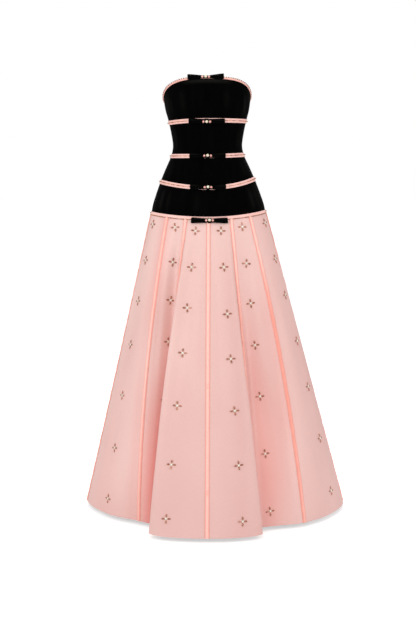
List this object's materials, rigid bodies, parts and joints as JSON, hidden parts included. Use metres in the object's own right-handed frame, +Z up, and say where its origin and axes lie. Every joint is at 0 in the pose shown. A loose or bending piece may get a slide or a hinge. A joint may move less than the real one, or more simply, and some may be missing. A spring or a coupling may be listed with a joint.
{
  "type": "maxi dress",
  "caption": "Strapless gown: fitted velvet bodice in tiers with ribbon bands and bows, over a full-length flared satin skirt of gores with flower ornaments.",
  "frame": {"origin": "centre of the narrowest waist section, where the wearer's waist carries the gown", "axes": "+Z up from hem to neckline, front faces -Y, +X to the right in the front view (the wearer's left side)"},
  "size_m": [0.8607, 0.8815, 1.4017],
  "materials": {
    "black_velvet": "deep black velvet pile, soft sheen at grazing angles",
    "blush_satin": "heavy blush-pink duchess satin, soft sheen",
    "pink_ribbon": "pink satin ribbon with corded edges and a row of tiny beads",
    "peach_piping": "peach-pink gathered seam strip",
    "pearl": "pearl between two pink stones",
    "zip_tape": "black woven zip tape",
    "dark_metal": "black enamelled metal"
  },
  "bodies": {
    "gown": {"tier_1_front": "black_velvet", "tier_1_back_left": "black_velvet", "tier_1_back_right": "black_velvet", "tier_2_front": "black_velvet", "tier_2_back_left": "black_velvet", "tier_2_back_right": "black_velvet", "tier_3_front": "black_velvet", "tier_3_back_left": "black_velvet", "tier_3_back_right": "black_velvet", "tier_4_front": "black_velvet", "tier_4_back_left": "black_velvet", "tier_4_back_right": "black_velvet", "neckline_trim": "pink_ribbon", "band_1_under_bust": "pink_ribbon", "band_2_waist": "pink_ribbon", "band_3_high_hip": "pink_ribbon", "band_4_hip": "pink_ribbon", "bow_0_neckline": "black_velvet", "bow_1_under_bust": "black_velvet", "bow_2_waist": "black_velvet", "bow_3_high_hip": "black_velvet", "bow_4_hip": "black_velvet", "jewel_0_neckline": "pearl", "jewel_1_under_bust": "pearl", "jewel_2_waist": "pearl", "jewel_3_high_hip": "pearl", "jewel_4_hip": "pearl", "gore_back_left_centre": "blush_satin", "gore_back_left": "blush_satin", "gore_side_back_left": "blush_satin", "gore_side_front_left": "blush_satin", "gore_front_left": "blush_satin", "gore_front_left_centre": "blush_satin", "gore_front_right_centre": "blush_satin", "gore_front_right": "blush_satin", "gore_side_front_right": "blush_satin", "gore_side_back_right": "blush_satin", "gore_back_right": "blush_satin", "gore_back_right_centre": "blush_satin", "piping_01": "peach_piping", "piping_02": "peach_piping", "piping_03": "peach_piping", "piping_04": "peach_piping", "piping_05": "peach_piping", "piping_06": "peach_piping", "piping_07": "peach_piping", "piping_08": "peach_piping", "piping_09": "peach_piping", "piping_10": "peach_piping", "piping_11": "peach_piping", "piping_12": "peach_piping", "zip_tape_left": "zip_tape", "zip_tape_right": "zip_tape", "zip_slider": "dark_metal"},
    "zip_pull": {"zip_pull": "dark_metal"}
  },
  "joints": [
    {"name": "zip_pull_hinge", "type": "hinge", "parent": "gown", "child": "zip_pull", "pos_m": [-0.00254, 0.09708, 0.113], "axis": [1, 0, 0], "range_deg": [0, 150]}
  ]
}
